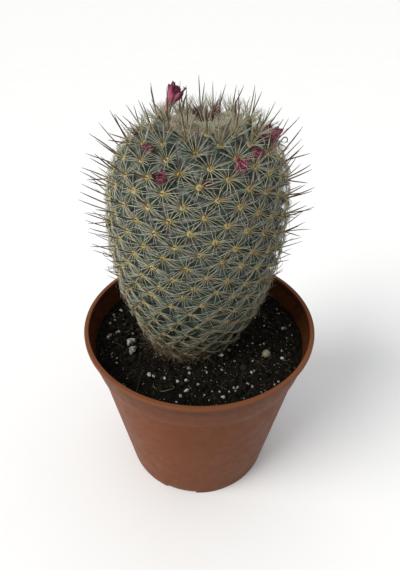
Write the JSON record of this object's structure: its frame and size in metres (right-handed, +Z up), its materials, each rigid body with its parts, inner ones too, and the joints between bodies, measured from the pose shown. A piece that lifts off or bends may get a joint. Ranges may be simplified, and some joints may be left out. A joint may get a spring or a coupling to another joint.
{
  "type": "potted club-shaped cactus",
  "caption": "Club-shaped spiny cactus with spirally set tubercles and withered flowers, growing in dark soil in a round tapered plastic nursery pot.",
  "frame": {"origin": "centre of the pot's foot, on the surface it stands on", "axes": "+Z up along the pot's axis, +X to the right, -Y towards the front, the side with most of the withered flowers"},
  "size_m": [0.105, 0.105, 0.188],
  "materials": {
    "pot_plastic": "satin",
    "peat": "matte",
    "cactus_skin": "matte",
    "dry_petals": "matte",
    "fertiliser": "satin",
    "perlite": "matte",
    "dry_root": "matte",
    "spine": "satin"
  },
  "bodies": {
    "root": {"pot": "pot_plastic", "potting_soil": "peat", "cactus_stem": "cactus_skin", "flower_left": "dry_petals", "flower_right": "dry_petals", "central_spine_1": "spine", "central_spine_2": "spine", "central_spine_3": "spine", "central_spine_4": "spine", "central_spine_5": "spine", "central_spine_6": "spine", "central_spine_7": "spine", "central_spine_8": "spine", "central_spine_9": "spine", "central_spine_10": "spine", "central_spine_11": "spine", "central_spine_12": "spine", "central_spine_13": "spine", "central_spine_14": "spine", "central_spine_15": "spine", "central_spine_16": "spine", "central_spine_17": "spine", "central_spine_18": "spine", "central_spine_19": "spine", "central_spine_20": "spine", "fertiliser_prill": "fertiliser", "perlite_grain_1": "perlite", "perlite_grain_2": "perlite", "perlite_grain_3": "perlite", "perlite_grain_4": "perlite", "perlite_grain_5": "perlite", "perlite_grain_6": "perlite", "perlite_grain_7": "perlite", "perlite_grain_8": "perlite", "perlite_grain_9": "perlite", "perlite_grain_10": "perlite", "perlite_grain_11": "perlite", "perlite_grain_12": "perlite", "perlite_grain_13": "perlite", "perlite_grain_14": "perlite", "perlite_lump_1": "perlite", "perlite_lump_2": "perlite", "root_fibre": "dry_root", "withered_flower_1": "dry_petals", "withered_flower_2": "dry_petals", "withered_flower_3": "dry_petals", "withered_flower_4": "dry_petals", "withered_flower_5": "dry_petals", "withered_flower_6": "dry_petals", "withered_flower_7": "dry_petals"}
  },
  "joints": []
}
